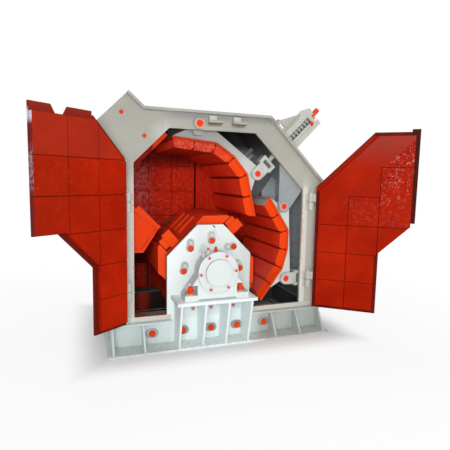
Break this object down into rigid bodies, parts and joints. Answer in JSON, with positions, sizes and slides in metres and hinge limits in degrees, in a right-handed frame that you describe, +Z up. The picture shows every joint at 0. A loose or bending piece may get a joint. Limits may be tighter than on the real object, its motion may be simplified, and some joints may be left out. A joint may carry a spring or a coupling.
{
  "type": "impact crusher",
  "caption": "Horizontal shaft impact crusher on a ribbed base, with lined swing doors, a blow bar rotor in outboard bearings and two hung impact aprons on spring loaded rods.",
  "frame": {"origin": "on the floor, at the centre of the foundation bolt holes", "axes": "+X towards the adjusting rods and away from the feed inlet, +Y from the door side seen in the picture to the drive side, +Z up"},
  "size_m": [3.4343, 2.2704, 2.3861],
  "materials": {
    "white_paint": "satin off-white machine paint",
    "red_paint": "gloss orange-red primer paint on wear steel",
    "bare_steel": "turned steel",
    "spring_steel": "grey painted spring steel"
  },
  "bodies": {
    "housing": {"base_side_beams": "white_paint", "base_end_beams": "white_paint", "bearing_pedestals": "white_paint", "side_frames": "white_paint", "left_end_wall": "white_paint", "chute_floor": "white_paint", "hood_top": "white_paint", "roof_plate": "white_paint", "sloped_wall": "white_paint", "right_end_wall": "white_paint", "chute_liner": "red_paint", "inlet_side_liners": "red_paint", "feed_lip": "red_paint", "rotor_shields": "white_paint", "shield_liners": "red_paint", "bearing_housings": "white_paint", "bearing_covers": "white_paint", "rear_doors": "red_paint", "rear_door_tiles": "red_paint", "hinge_posts": "white_paint", "door_latches": "white_paint", "apron_brackets": "white_paint", "upper_spring_boxes": "white_paint", "lower_spring_boxes": "white_paint", "upper_springs": "spring_steel", "lower_springs": "spring_steel"},
    "rotor": {"rotor_body": "red_paint", "blow_bars": "red_paint", "bar_wedges": "red_paint", "rotor_shaft": "bare_steel"},
    "left_door": {"left_door_plate": "red_paint", "left_door_tiles": "red_paint"},
    "right_door": {"right_door_plate": "red_paint", "right_door_tiles": "red_paint"},
    "upper_apron": {"upper_apron_blocks": "red_paint", "upper_apron_backing": "red_paint", "upper_apron_frame": "white_paint", "upper_apron_pins": "bare_steel"},
    "upper_rods": {"upper_rods": "bare_steel"},
    "lower_apron": {"lower_apron_blocks": "red_paint", "lower_apron_backing": "red_paint", "lower_apron_frame": "white_paint", "lower_apron_pins": "bare_steel"},
    "lower_rods": {"lower_rods": "bare_steel"}
  },
  "joints": [
    {"name": "left_door_swing", "type": "hinge", "parent": "housing", "child": "left_door", "pos_m": [-0.94, -0.575, 0.975], "axis": [0, 0, 1], "range_deg": [-15, 145]},
    {"name": "right_door_swing", "type": "hinge", "parent": "housing", "child": "right_door", "pos_m": [0.957, -0.575, 0.975], "axis": [0, 0, -1], "range_deg": [-15, 142]},
    {"name": "rotor_spin", "type": "hinge", "parent": "housing", "child": "rotor", "pos_m": [-0.14, 0, 0.745], "axis": [0, 1, 0], "continuous": true},
    {"name": "upper_apron_swing", "type": "hinge", "parent": "housing", "child": "upper_apron", "pos_m": [-0.268, 0, 2.13], "axis": [0, -1, 0], "range_deg": [0, 6]},
    {"name": "upper_rod_turn", "type": "hinge", "parent": "upper_apron", "child": "upper_rods", "pos_m": [0.372, 0, 1.672], "axis": [0, 1, 0], "range_deg": [0, 8.9]},
    {"name": "lower_apron_swing", "type": "hinge", "parent": "housing", "child": "lower_apron", "pos_m": [0.684, 0, 1.337], "axis": [0, -1, 0], "range_deg": [0, 6]},
    {"name": "lower_rod_turn", "type": "hinge", "parent": "lower_apron", "child": "lower_rods", "pos_m": [0.739, 0, 0.557], "axis": [0, 1, 0], "range_deg": [0, 8.4]}
  ],
  "couplings": [
    {"joint": "upper_rod_turn", "follows": "upper_apron_swing", "ratio": 1.441},
    {"joint": "lower_rod_turn", "follows": "lower_apron_swing", "ratio": 1.358}
  ]
}
